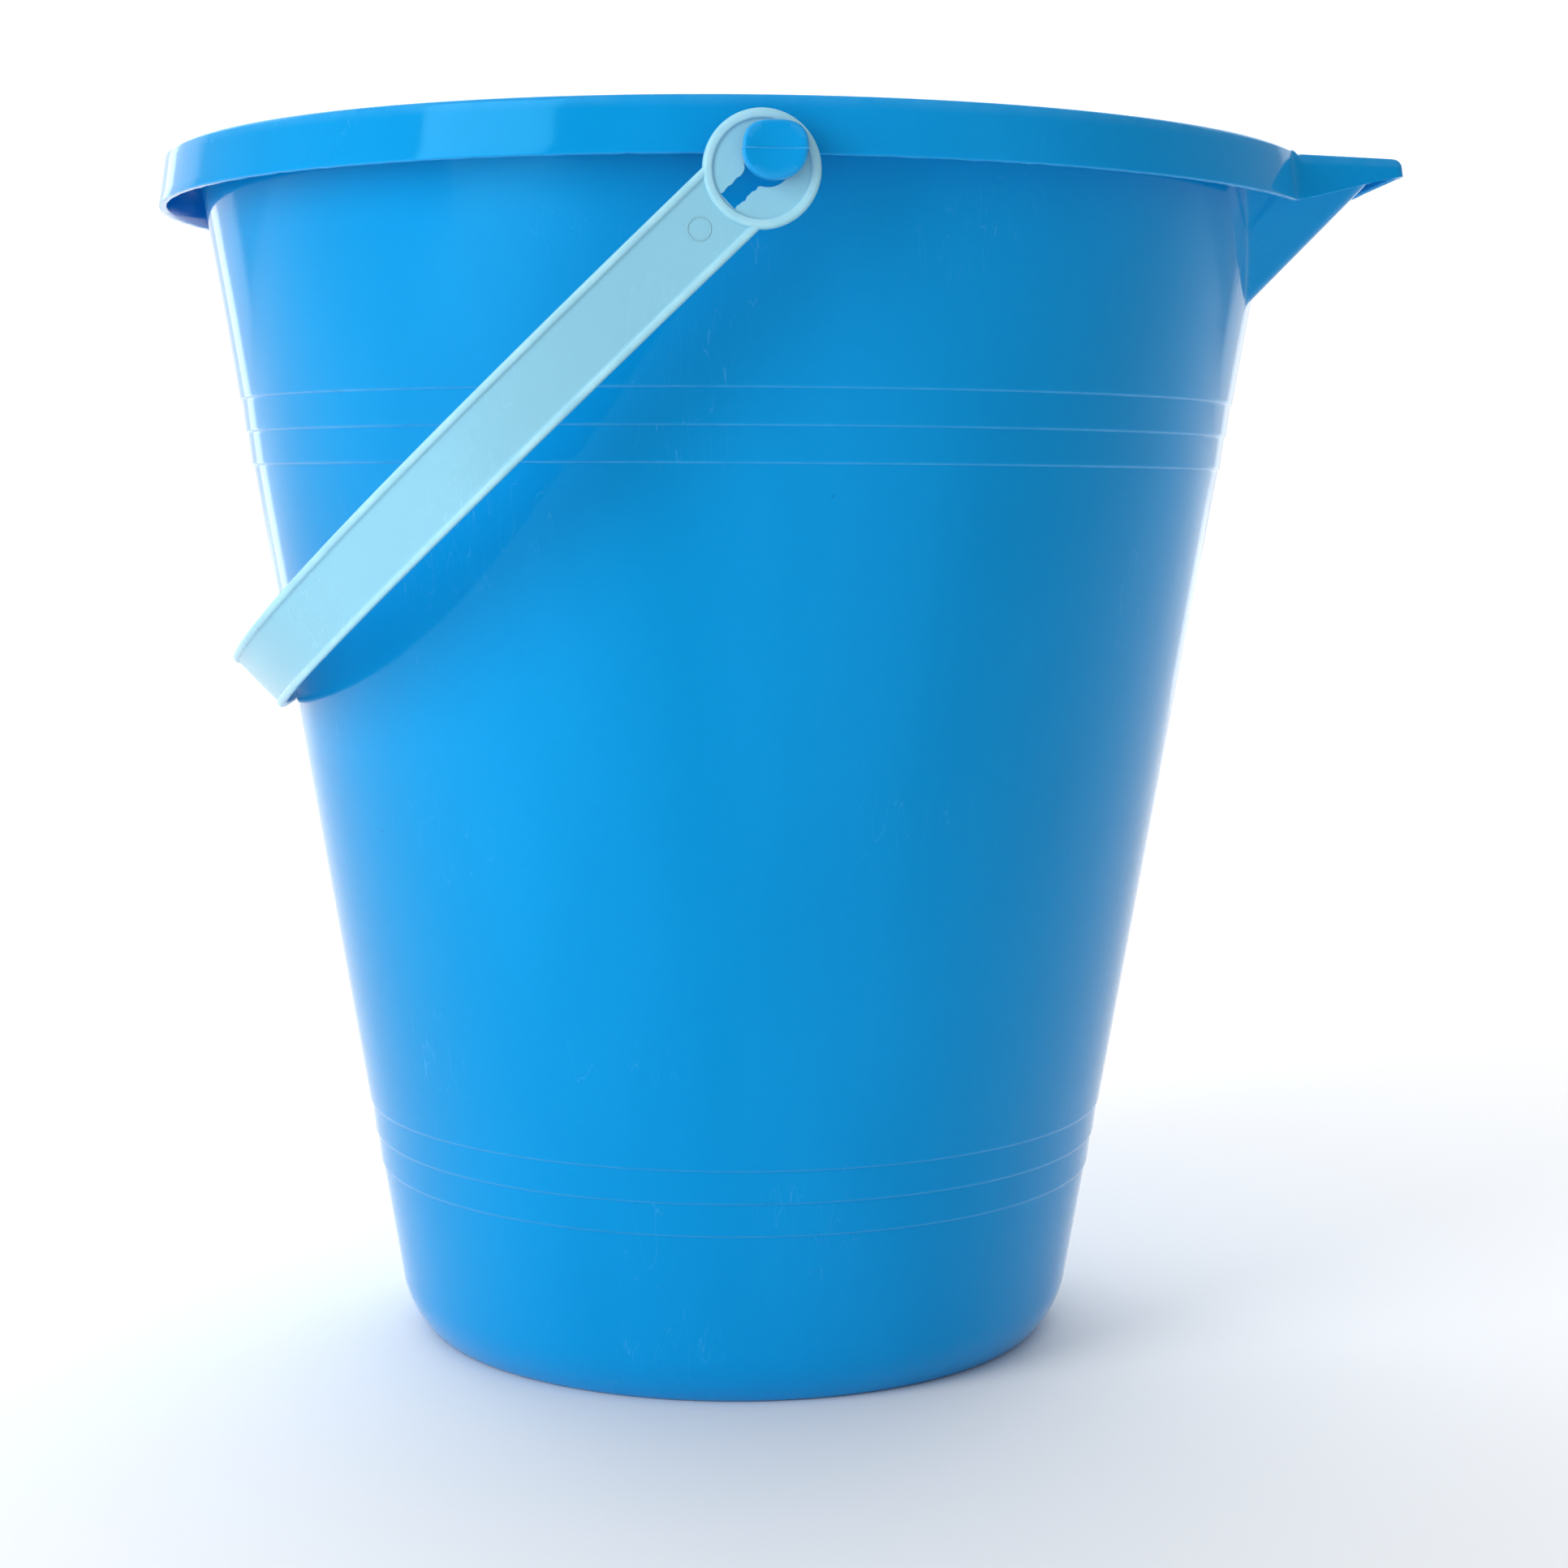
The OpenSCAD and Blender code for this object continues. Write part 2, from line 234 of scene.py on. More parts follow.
class StudioSettings(bpy.types.PropertyGroup):
    """Camera, lights and floor"""

    camera_x: number("Camera X", "Camera's place along X", -0.02985, unit="LENGTH")
    camera_y: number("Camera Y", "Camera's place along Y", -0.61028, unit="LENGTH")
    camera_z: number("Camera Z", "Camera's height", 0.1789, unit="LENGTH")
    yaw: angle("Yaw", "Turn of the view from +Y towards +X", 3.779)
    pitch: angle("Pitch", "Tilt of the view, upwards", -5.779)
    roll: angle("Roll", "Roll of the camera", 0.3065)
    lens: number("Lens", "Focal length", 64.376, subtype="DISTANCE_CAMERA")
    floor: colour("Floor", "Colour of the floor", (0.93, 0.93, 0.93))
    surround: number("Surround", "Brightness of the surround behind the bucket", 1.15)
    dim_side: number("Dim side", "Brightness of the surround behind the camera", 0.4)
    key: number("Key light", "Power of the key light", 10.5, unit="POWER")
    fill: number("Fill light", "Power of the fill light", 0.15, unit="POWER")
    top: number("Top light", "Power of the top light", 1.8, unit="POWER")
    strips: number("Strip lights", "Power of the left strip light, three times the right one's",
                   0.8, unit="POWER")
    backdrop: number("Backdrop light", "Power of the light on the far floor", 150.0, unit="POWER")


class SandBucketSettings(bpy.types.PropertyGroup):
    """All settings of the sand bucket"""

    shell: PointerProperty(type=ShellSizes)
    rim: PointerProperty(type=RimSizes)
    lines: PointerProperty(type=LineSizes)
    spout: PointerProperty(type=SpoutSizes)
    pegs: PointerProperty(type=PegSizes)
    handle: PointerProperty(type=HandleSizes)
    plastics: PointerProperty(type=PlasticLooks)
    studio: PointerProperty(type=StudioSettings)


# ---------------- modelling tools

def deselect():
    """Leaves edit mode and selects nothing."""
    if bpy.context.mode != "OBJECT":
        bpy.ops.object.mode_set(mode="OBJECT")
    bpy.ops.object.select_all(action="DESELECT")


def only(obj):
    """Selects obj alone and makes it active."""
    deselect()
    obj.select_set(True)
    bpy.context.view_layer.objects.active = obj


def new_from(add, name, **where):
    """Adds a primitive and gives it a name."""
    deselect()
    add(**where)
    obj = bpy.context.object
    obj.name = obj.data.name = name
    return obj


def settle(obj):
    """Puts the object's place and turn into its mesh."""
    only(obj)
    bpy.ops.object.transform_apply(location=True, rotation=True, scale=True)
    return obj


def drum(name, vertices, radius, depth, place=(0, 0, 0)):
    """A cylinder that lies along Y."""
    return settle(new_from(bpy.ops.mesh.primitive_cylinder_add, name, vertices=vertices,
                           radius=radius, depth=depth, rotation=ALONG_Y, location=place))


def coordinates(obj):
    """The mesh's points as an array."""
    co = np.empty(len(obj.data.vertices) * 3)
    obj.data.vertices.foreach_get("co", co)
    return co.reshape(-1, 3)


def move_points(obj, co):
    """Moves the mesh's points to an array of places."""
    obj.data.vertices.foreach_set("co", np.asarray(co, float).ravel())
    obj.data.update()


def chain(name, points, closed=False):
    """A chain of edges through points, made from a ring of as many."""
    obj = new_from(bpy.ops.mesh.primitive_circle_add, name, vertices=len(points), radius=1,
                   fill_type="NOTHING")
    if not closed:
        bm = bmesh.new()
        bm.from_mesh(obj.data)
        bm.verts.ensure_lookup_table()
        ends = {bm.verts[0], bm.verts[len(points) - 1]}
        bmesh.ops.delete(bm, geom=[e for e in bm.edges if set(e.verts) == ends], context="EDGES")
        bm.to_mesh(obj.data)
        bm.free()
    move_points(obj, points)
    return obj


@contextmanager
def editing(obj):
    """Edit mode on obj, which starts with everything selected."""
    only(obj)
    bpy.ops.object.mode_set(mode="EDIT")
    bpy.ops.mesh.select_all(action="SELECT")
    yield
    bpy.ops.object.mode_set(mode="OBJECT")


def select_where(obj, part, test):
    """Selects only the mesh's verts, edges or faces that pass a test, in edit mode."""
    bpy.ops.mesh.select_all(action="DESELECT")
    bm = bmesh.from_edit_mesh(obj.data)
    for item in getattr(bm, part):
        if test(item):
            item.select_set(True)
    bmesh.update_edit_mesh(obj.data)


def spin(obj, steps, turn, axis=(0, 0, 1), center=(0, 0, 0)):
    """Spins the whole mesh, then closes its seam and poles."""
    with editing(obj):
        bpy.ops.mesh.spin(steps=steps, angle=turn, center=center, axis=axis)
        bpy.ops.mesh.select_all(action="SELECT")
        bpy.ops.mesh.remove_doubles(threshold=WELD)
        bpy.ops.mesh.delete_loose()
    return obj


def outwards(obj):
    """Makes every face point outwards."""
    with editing(obj):
        bpy.ops.mesh.normals_make_consistent(inside=False)
    return obj


def set_worn_and_highlit(obj, values):
    """Stores how pale each point is painted, for worn edges and for painted highlights on edges,
    lines and crests.
    """
    worn = obj.data.attributes.new(WORN_AND_HIGHLIT_EDGE, "FLOAT", "POINT")
    worn.data.foreach_set("value", np.asarray(values, np.float32))


def combine(obj, tool, operation):
    """Joins the tool to obj or cuts it away, and removes the tool."""
    only(obj)
    modifier = obj.modifiers.new("Combine", "BOOLEAN")
    modifier.operation = operation
    modifier.object = tool
    modifier.solver = "EXACT"
    bpy.ops.object.modifier_apply(modifier=modifier.name)
    bpy.data.objects.remove(tool)


def join(obj, *others):
    """Joins meshes into one object."""
    only(obj)
    for other in others:
        other.select_set(True)
    bpy.ops.object.join()
    return obj


def smooth(obj, degrees):
    """Smooth shading, with edges sharper than an angle kept."""
    only(obj)
    bpy.ops.object.shade_smooth_by_angle(angle=math.radians(degrees))
    return obj


def arc(centre, radius, start, end, steps):
    """Points along an arc from one angle to another, in degrees."""
    turns = np.radians(np.linspace(start, end, steps + 1))
    return [(centre[0] + radius * math.cos(a), centre[1] + radius * math.sin(a)) for a in turns]


# ---------------- the bucket's form

def bucket_form(s):
    """What follows from the sizes: the slope of the wall and the places of the keel and lip."""
    shell, rim, spout = s.shell, s.rim, s.spout
    f = SimpleNamespace()
    f.top = shell.height
    f.rim_r = shell.skirt_r - rim.skirt_flare
    f.wall_top_r = f.rim_r - rim.flat_w
    f.slope = (f.wall_top_r - shell.foot_r) / f.top
    f.lean = math.atan(f.slope)
    f.turn_x = shell.foot_r + f.slope * shell.turn_h - shell.turn_r * math.cos(f.lean)
    f.turn_z = shell.turn_h + shell.turn_r * math.sin(f.lean)
    f.under_z = f.top - rim.flat_t
    f.skirt_z = f.top - rim.skirt_drop
    f.lip_reach = f.rim_r + spout.lip_out
    f.keel_z = f.top - spout.keel_drop
    f.keel_foot = shell.foot_r + f.slope * f.keel_z
    f.keel_lean = math.atan((f.lip_reach - spout.keel_inset - f.keel_foot) / spout.keel_drop)
    apex = f.lip_reach + spout.lip_r * (1 / math.sin(spout.lip_angle) - 1)
    middle = apex * math.cos(spout.lip_angle)
    run = middle - math.sqrt(middle ** 2 - apex ** 2 + shell.skirt_r ** 2)
    f.crease_x = apex - run * math.cos(spout.lip_angle)
    f.lip_slope = (rim.skirt_drop - spout.lip_skirt) / (f.lip_reach - f.crease_x)
    return f


def vee_radius(turn, tip, round_r, half_angle, lean=0.0):
    """Distance from the axis to a V with a round tip, for directions turned from the tip.

    The V's rounding is measured square to its keel, which leans outwards.
    """
    section = math.atan(math.tan(half_angle) / math.cos(lean))
    squash = math.cos(lean)
    centre = tip - round_r / squash
    apex = centre + round_r / (math.sin(section) * squash)
    turn = np.minimum(np.abs(turn), math.pi / 2 - half_angle)
    side = apex * math.sin(half_angle) / np.sin(half_angle + turn)
    a = (squash * np.cos(turn)) ** 2 + np.sin(turn) ** 2
    b = centre * squash ** 2 * np.cos(turn)
    c = (centre * squash) ** 2 - round_r ** 2
    nose = (b + np.sqrt(np.maximum(b * b - a * c, 0))) / a
    tangent = np.arctan2(round_r * math.cos(section), centre + round_r * math.sin(section) / squash)
    return np.where(turn < tangent, nose, side)


def blended_max(a, b, width):
    """The larger of two values, with a smooth blend where they are close."""
    near = np.maximum(width - np.abs(a - b), 0) / width
    return np.maximum(a, b) + near * near * width / 4


def lip_radius(s, f, turn, z, inset):
    """The lip's outline at a height, which flares out towards its bottom."""
    flare = s.rim.skirt_flare * (z - f.skirt_z) / s.rim.skirt_drop
    round_r = np.maximum(s.spout.lip_r - inset - flare, 1 * MM)
    return vee_radius(turn, f.lip_reach - flare - inset, round_r, s.spout.lip_angle)


def rim_radius(s, f, turn, z, inset):
    """The rim's and lip's common outline at a height, moved in by an inset."""
    circle = f.rim_r + s.rim.skirt_flare * (f.top - z) / s.rim.skirt_drop - inset
    return blended_max(circle, lip_radius(s, f, turn, z, inset), s.spout.lip_fillet)


def wall_radius(s, f, turn, z, inset):
    """The wall and spout at a height: the outer face, or the inner one at an inset of a wall."""
    keel = f.keel_foot + (z - f.keel_z) * math.tan(f.keel_lean) - inset / math.cos(f.keel_lean)
    spout = vee_radius(turn, keel, s.spout.keel_r - inset, s.spout.side_angle, f.keel_lean)
    edge = s.spout.lip_flat - s.shell.wall_t + inset
    limit = np.maximum(f.rim_r - edge, lip_radius(s, f, turn, f.top, edge))
    wall = s.shell.foot_r + f.slope * z - inset
    return blended_max(wall, np.minimum(spout, limit), s.spout.side_fillet)


def line_stations(s, f):
    """Heights and offsets of the wall's face up through both bands of lines."""
    lines = s.lines
    upper_z = f.top - lines.upper_drop
    heights = [z + i * lines.pitch for z in (lines.lower_z, upper_z) for i in range(lines.count)]
    stations = []
    for z in heights:
        for t in (-3, -1, -0.5, 0, 0.5, 1, 3):
            offset = lines.step / 2 * math.sin(max(-1, min(1, t)) * math.pi / 2)
            # the middle of each line's step is painted pale, a painted highlight
            worn = lines.worn if abs(t) < 1 else 0.0
            stations.append(("wall", offset, z + t * lines.rise / 2, worn))
    return stations


def bucket_stations(s, f):
    """The section through the bucket's wall, from under the floor's middle to its top.

    Each station is its kind, its offset or radius, its height and how pale it is painted, for wear
    and for painted highlights on edges and lines.
    """
    shell, rim = s.shell, s.rim
    out = []

    def add(kind, points, worn=0.0):
        out.extend((kind, x, z, worn) for x, z in points)

    def upright(kind, offset, heights):
        add(kind, [(offset, z) for z in heights])

    # The gate mark's nub, then the ring foot's inner side and its underside.
    add("base", [(r * shell.gate_r, z * shell.foot_h)
                 for r, z in ((0, 0.4), (0.85, 0.4), (1.0, 0.55), (1.15, 1.0))])
    foot_out = f.turn_x + shell.turn_r * math.cos(math.asin(-f.turn_z / shell.turn_r))
    add("base", [(foot_out - shell.foot_w + r * MM, z * shell.foot_h)
                 for r, z in ((-1.6, 1.0), (-0.9, 0.85), (-0.4, 0.3), (0, 0.0), (1.0, 0.0))])

    # The turn from the foot to the wall, which eases out of the ground.
    start = math.degrees(math.asin((0.5 * MM - f.turn_z) / shell.turn_r))
    corner = arc((f.turn_x, f.turn_z), shell.turn_r, start, -math.degrees(f.lean), 12)
    add("base", [(corner[0][0] + x * MM, z * MM) for x, z in ((-1.6, 0.0), (-0.6, 0.12))] + corner)

    # The wall's outer face, and the fillet from it to the rim's underside.
    out += line_stations(s, f)
    wall_end = f.under_z - rim.root_r
    upright("wall", 0.0, np.linspace(f.keel_z - 4 * MM, wall_end, 40))
    add("wall", arc((rim.root_r, wall_end), rim.root_r, 180, 90, 4)[1:])

    # The skirt's inner face, its bottom edge, its outer face and the top's outer edge.
    root_r = rim.root_r / 2
    add("rim", [(rim.skirt_t + root_r - x, f.under_z - root_r + z)
                for x, z in arc((0, 0), root_r, 90, 0, 4)])
    edge = rim.skirt_round
    edge_z = f.skirt_z + edge
    upright("rim", rim.skirt_t, np.linspace(wall_end, edge_z, 5)[1:-1])
    # the skirt's bottom edge is painted pale, partly as burrs and partly as a painted highlight
    add("rim", [(rim.skirt_t - edge - x, edge_z + z)
                for x, z in arc((0, 0), edge, 180, 270, 3)], worn=0.3)
    out += [("rim", edge - x, edge_z + z, 0.6 * (1 - x / edge))
            for x, z in arc((0, 0), edge, 270, 360, 3)]
    upright("rim", 0.0, np.linspace(edge_z, f.top - rim.top_round, 7)[1:-1])
    # the top's outer edge is painted pale, a painted highlight along its rounding
    add("rim", [(rim.top_round - x, f.top - rim.top_round + z)
                for x, z in arc((0, 0), rim.top_round, 0, 90, 6)], worn=0.25)

    # The mouth's edge, and the inside down to the middle of the floor.
    mouth_z, keel_end = f.top - rim.mouth_round, f.keel_z - 6 * MM
    # the mouth's edge is painted a little paler
    add("inside", arc((rim.mouth_round, mouth_z), rim.mouth_round, 90, 180, 5), worn=0.3)
    upright("inside", 0.0, np.linspace(mouth_z, keel_end, 34)[1:])
    upright("inside", 0.0, np.linspace(keel_end, shell.turn_h + 4 * MM, 8)[1:])
    inner_r = shell.turn_r - shell.wall_t
    end = math.degrees(math.asin((shell.floor_t + 0.8 * MM - f.turn_z) / inner_r))
    corner = arc((f.turn_x, f.turn_z), inner_r, -math.degrees(f.lean), end, 10)
    last = corner[-1][0]
    add("base", corner + [(last - 0.9 * MM, shell.floor_t + 0.25 * MM)])
    add("base", [(r, shell.floor_t) for r in (last - 2 * MM, last / 2, 0.0)])
    return out


def column_turns(count, near, fade, ratio):
    """Directions of the columns from the spout, which are closer by a ratio near to it."""
    grid = np.linspace(-math.pi, math.pi, 7201)
    close = 1 / (1 + np.exp((np.abs(grid) - near) / fade))
    density = np.cumsum(1 + (ratio - 1) * close)
    density = (density - density[0]) / (density[-1] - density[0])
    return np.interp(np.arange(count) / count, density, grid)


def lip_drop(s, f, turn):
    """How far the top lies below the rim's top, which is the lip's small step."""
    step = np.clip((lip_radius(s, f, turn, f.top, 0) - f.rim_r) / STEP_RUN, 0, 1)
    return s.spout.lip_step * step * step * (3 - 2 * step)


def skirt_bottom(s, f, turn):
    """Height of the skirt's bottom edge, which rises along the lip towards its tip."""
    edge_x = rim_radius(s, f, turn, f.skirt_z, 0) * np.cos(turn)
    crease_x = np.full_like(edge_x, f.crease_x)
    rise = f.lip_slope * (blended_max(edge_x, crease_x, CREASE_BLEND) - f.crease_x)
    return f.skirt_z + np.where(np.abs(turn) < LIP_HALF_TURN, rise, 0)


def uneven(turn):
    """An uneven wave from -1 to 1 round the bucket."""
    return np.sin(turn * 67) * np.sin(turn * 149 + 1) * np.sin(turn * 31 + 2) ** 2


def place_stations(s, f, kind, offset, z, turn):
    """Radius and height of each point from its station and its direction from the spout."""
    drop = lip_drop(s, f, turn)
    bottom = skirt_bottom(s, f, turn)
    is_rim, is_wall, is_inside = kind == "rim", kind == "wall", kind == "inside"

    rounding = is_rim & (z >= f.top - s.rim.top_round - 0.001 * MM)
    softer = np.where(rounding, 1 + (s.spout.tip_softness - 1) * drop / s.spout.lip_step, 1)
    top_z = f.top - (f.top - z) * softer - drop
    depth = (f.under_z - drop - bottom) / (f.under_z - f.skirt_z)
    at_edge = z < f.skirt_z + 0.5 * s.rim.skirt_round
    skirt_z = f.under_z - drop - (f.under_z - z) * depth - at_edge * uneven(turn) * s.rim.nicks
    wall_z = z - drop * np.clip((z - f.keel_z) / (f.under_z - f.keel_z), 0, 1)
    out_z = np.where(is_rim, np.where(z > f.under_z, top_z, skirt_z),
                     np.where(is_wall | is_inside, wall_z, z))

    skirt_inner = rim_radius(s, f, turn, out_z, s.rim.skirt_t) - SKIRT_CLEARANCE
    wall = wall_radius(s, f, turn, z, 0.0) + offset
    wall = np.where(out_z > bottom - 1 * MM, np.minimum(wall, skirt_inner), wall)
    inside = wall_radius(s, f, turn, z, s.shell.wall_t) + offset
    rim = rim_radius(s, f, turn, out_z, 0) - offset * softer
    root = is_rim & (offset > s.rim.skirt_t)
    rim = np.where(root, np.minimum(rim, skirt_inner), rim)
    radius = np.where(is_rim, rim, np.where(is_wall, wall, np.where(is_inside, inside, offset)))
    return radius, out_z


def model_shell(s):
    """Spins the section into a round shell, then draws the spout out of it."""
    f = bucket_form(s)
    stations = bucket_stations(s, f)
    kind = np.array([st[0] for st in stations])
    offset, height, edge = (np.array([st[i] for st in stations], float) for i in (1, 2, 3))
    back = np.full(len(stations), math.pi)
    radius, z = place_stations(s, f, kind, offset, height, back)
    shell = chain("bucket", [(r, 0, h) for r, h in zip(radius, z)])
    station = shell.data.attributes.new("station", "INT", "POINT")
    station.data.foreach_set("value", np.arange(len(stations), dtype=np.int32))
    columns = s.shell.columns
    spin(shell, columns, 2 * math.pi)

    co = coordinates(shell)
    index = np.empty(len(co), np.int32)
    shell.data.attributes["station"].data.foreach_get("value", index)
    shell.data.attributes.remove(shell.data.attributes["station"])
    round_share = np.arctan2(co[:, 1], co[:, 0]) / (2 * math.pi)
    column = np.rint(round_share * columns).astype(int) % columns
    turn = column_turns(columns, near=math.radians(17), fade=math.radians(2.5), ratio=5)[column]
    radius, z = place_stations(s, f, kind[index], offset[index], height[index], turn)
    world = turn + s.spout.turn
    move_points(shell, np.stack([radius * np.cos(world), radius * np.sin(world), z], 1))
    set_worn_and_highlit(shell, edge[index])
    return outwards(shell)


def model_head(pegs):
    """A peg's head about the origin: a squared drum with a chamfered and dished face."""
    head = drum("peg_head", 96, 1, pegs.head_t)
    co = coordinates(head)
    bend = np.arctan2(co[:, 2], co[:, 0])
    upper = co[:, 2] > 1e-6
    power = 2 / np.where(upper, pegs.top_power, pegs.foot_power)
    tall = np.where(upper, pegs.head_top, pegs.head_foot)
    for axis, wave, size in ((0, np.cos(bend), pegs.head_r), (2, np.sin(bend), tall)):
        co[:, axis] = size * np.sign(wave) * np.abs(wave) ** power
    move_points(head, co)

    def on_front_edge(e):
        flat = [face for face in e.link_faces if abs(face.normal.y) > 0.9]
        return len(flat) == 1 and flat[0].normal.y < 0

    def is_front(face):
        return face.normal.y < -0.99 and face.calc_area() > 10 * MM * MM

    with editing(head):
        select_where(head, "edges", on_front_edge)
        bpy.ops.mesh.bevel(offset=pegs.chamfer, segments=3, profile=0.6, clamp_overlap=True)
        select_where(head, "faces", is_front)
        for _ in range(2):
            bpy.ops.mesh.inset(thickness=pegs.dish_step)
            bpy.ops.transform.translate(value=(0, pegs.dish / 2, 0))
        for z in (-pegs.flash, 0, pegs.flash):
            bpy.ops.mesh.select_all(action="SELECT")
            bpy.ops.mesh.bisect(plane_co=(0, 0, z), plane_no=(0, 0, 1), threshold=0.001 * MM)
    return head


def part_halves(head, pegs):
    """Raises the flash along the head's parting line, paints that line and the head's outer edge
    paler, and shifts its lower half.
    """
    co = coordinates(head)
    line = np.abs(co[:, 2]) < 0.02 * MM
    around = np.hypot(co[:, 0] / pegs.head_r, co[:, 2] / pegs.head_top)
    set_worn_and_highlit(head, np.where(line, 0.9, np.where(around > 0.93, 0.2, 0)))
    co[:, 1] -= np.where(line, pegs.flash, 0)
    co[:, 0] += np.where(line, np.sign(co[:, 0]) * pegs.halves_shift, 0)
    co[:, 0] += np.where(co[:, 2] < -0.001 * MM, -pegs.halves_shift / 2, 0)
    move_points(head, co)


def model_peg(s, f):
    """A peg on the -Y side: a round shaft and a head in two moulded halves."""
    pegs = s.pegs
    head_y = pegs.face_y - pegs.head_t / 2
    root_y = s.shell.foot_r + f.slope * pegs.axis_z - s.shell.wall_t / 2
    long = head_y - root_y
    shaft = drum("peg_shaft", 48, pegs.shaft_r, long, (0, -root_y - long / 2, pegs.axis_z))
    head = model_head(pegs)
    part_halves(head, pegs)
    move_points(head, coordinates(head) + [0, -head_y, pegs.axis_z])
    smooth(head, 40)
    smooth(shaft, 40)
    return join(head, shaft)


def mirrored(obj, name):
    """A copy of obj on the other side of the XZ plane, with its own mesh."""
    only(obj)
    bpy.ops.object.duplicate(linked=False)
    copy = bpy.context.object
    copy.name = copy.data.name = name
    co = coordinates(copy)
    co[:, 1] *= -1
    move_points(copy, co)
    return outwards(copy)


# ---------------- the handle's form

def handle_form(s):
    """What follows from the sizes: the strap's reach and the angle at which it hangs."""
    f = bucket_form(s)
    handle, pegs = s.handle, s.pegs
    g = SimpleNamespace()
    g.hang_z = pegs.axis_z - handle.hang
    g.ring_y = s.shell.skirt_r + handle.ring_gap
    past = math.hypot(f.lip_reach * math.cos(s.spout.turn), f.top - s.spout.lip_step - g.hang_z)
    side = abs(f.lip_reach * math.sin(s.spout.turn)) / g.ring_y
    power = handle.curve_power
    g.reach = past / (1 - side ** power) ** (1 / power) + handle.lip_gap

    def gap(a):
        x = g.reach * math.cos(a) - handle.strap_w / 2 * math.sin(a)
        z = g.hang_z - g.reach * math.sin(a) - handle.strap_w / 2 * math.cos(a)
        return x - s.shell.foot_r - f.slope * z - handle.rest_gap / math.cos(f.lean)

    low, high = 0.0, math.radians(80)
    for _ in range(30):
        middle = (low + high) / 2
        low, high = (middle, high) if gap(middle) > 0 else (low, middle)
    g.hang_angle = low
    g.matrix = Matrix.Translation((0, 0, g.hang_z)) @ Matrix.Rotation(math.pi - low, 4, "Y")
    return g


def strap_section(s):
    """The strap's section: distance out from its inner face, and place across its width."""
    h = s.handle
    half, face = h.strap_w / 2, h.strap_t - h.rib_h
    back_r, top_r = h.back_round, h.rib_round
    side = [(0.0, 0.0), (0.0, half * 0.5), (0.0, half - 2.2 * back_r)]
    side += [(back_r + x, half - back_r + y) for x, y in arc((0, 0), back_r, 180, 90, 4)]
    side += [(h.strap_t - top_r + x, half - top_r + y) for x, y in arc((0, 0), top_r, 90, 0, 6)]
    flank = half - h.rib_w
    side += [(h.strap_t - x, flank + y) for x, y in ((0.02 * MM, 0.45 * MM), (0.1 * MM, 0.22 * MM))]
    side += [(face + x, flank + y) for x, y in ((0.12 * MM, 0.0), (0.03 * MM, -0.12 * MM),
                                                (0.0, -0.35 * MM), (0.0, -0.8 * MM))]
    side += [(face, half * 0.4)]
    other = [(u, -v) for u, v in reversed(side[1:])]
    return side + [(face, 0.0)] + other


def model_strap(s, g):
    """Spins the section half way round, then draws the half ring into a squarer curve."""
    section = strap_section(s)
    strap = chain("strap", [(1 + u, 0, v) for u, v in section], closed=True)
    co = coordinates(strap)
    move_points(strap, np.stack([np.zeros(len(co)), -co[:, 0], co[:, 2]], 1))
    spin(strap, s.handle.steps, -math.pi)
    co = coordinates(strap)
    turn = np.arctan2(co[:, 1], co[:, 0])
    out = np.hypot(co[:, 0], co[:, 1]) - 1
    power = s.handle.curve_power
    x, y = np.maximum(np.cos(turn), 0), np.sin(turn)
    far = ((x / (g.reach + out)) ** power + np.abs(y / (g.ring_y + out)) ** power) ** (-1 / power)
    move_points(strap, np.stack([far * x, far * y, co[:, 2]], 1))
    with editing(strap):
        bpy.ops.mesh.fill_holes(sides=0)
    return outwards(strap)


def model_ring(s, g):
    """A ring on the -Y side: a disc with a rounded bead, spun about its own middle."""
    h = s.handle
    face = h.strap_t - h.rib_h
    top_r, back_r = h.bead_round, h.ring_back_round
    bead_in = h.ring_r - h.bead_w
    points = [(0, 0), (h.ring_r * 0.6, 0), (h.ring_r - 2 * back_r, 0)]
    points += arc((h.ring_r - back_r, back_r), back_r, 270, 360, 4)
    points += arc((h.ring_r - top_r, h.strap_t - top_r), top_r, 0, 90, 7)
    flank = (0.42, 0.97), (0.2, 0.85), (0.08, 0.55), (0, 0.15), (-0.12, 0), (-0.5, 0)
    points += [(bead_in + x * MM, face + y * h.rib_h) for x, y in flank]
    points += [(bead_in * 0.5, face), (0, face)]
    ring = chain("ring", [(r + h.ring_offset, -g.ring_y - y, 0) for r, y in points])
    middle = (h.ring_offset, -g.ring_y, 0)
    return outwards(spin(ring, 128, 2 * math.pi, axis=(0, 1, 0), center=middle))


def keyhole_outline(s):
    """The hole for the peg, drawn out towards the strap into a slot with wavy edges."""
    h = s.handle
    half = h.slot_w / 2
    meet = math.degrees(math.asin(half / h.hole_r))
    far = h.ring_offset + h.ring_r - h.bead_w - 0.3 * MM
    near = h.hole_play + h.hole_r * math.cos(math.radians(meet)) + 0.3 * MM
    upper, lower = [], []
    for x in np.linspace(far, near, 22):
        wave = math.sin(x / MM * 2.3) + 0.6 * math.sin(x / MM * 5.1 + 1.0)
        upper.append((x, half + h.slot_wave * wave))
        lower.insert(0, (x, -half + h.slot_wave * 0.8 * math.sin(x / MM * 3.1 + 0.7)))
    play = (h.hole_play, 0)
    hole = arc(play, h.hole_r, meet + 5, 90, 14) + arc((0, 0), h.hole_r, 90, 270, 36)
    return upper + hole + arc(play, h.hole_r, 270, 355 - meet, 14) + lower


def model_keyhole(s, g):
    """The tool that cuts the keyhole: its outline as a face, pushed through the ring."""
    outline = keyhole_outline(s)
    tool = chain("keyhole", [(x, -g.ring_y + 1 * MM, z) for x, z in outline], closed=True)
    with editing(tool):
        bpy.ops.mesh.edge_face_add()
        bpy.ops.mesh.extrude_region_move(TRANSFORM_OT_translate={"value": (0, -4 * MM, 0)})
    return outwards(tool)


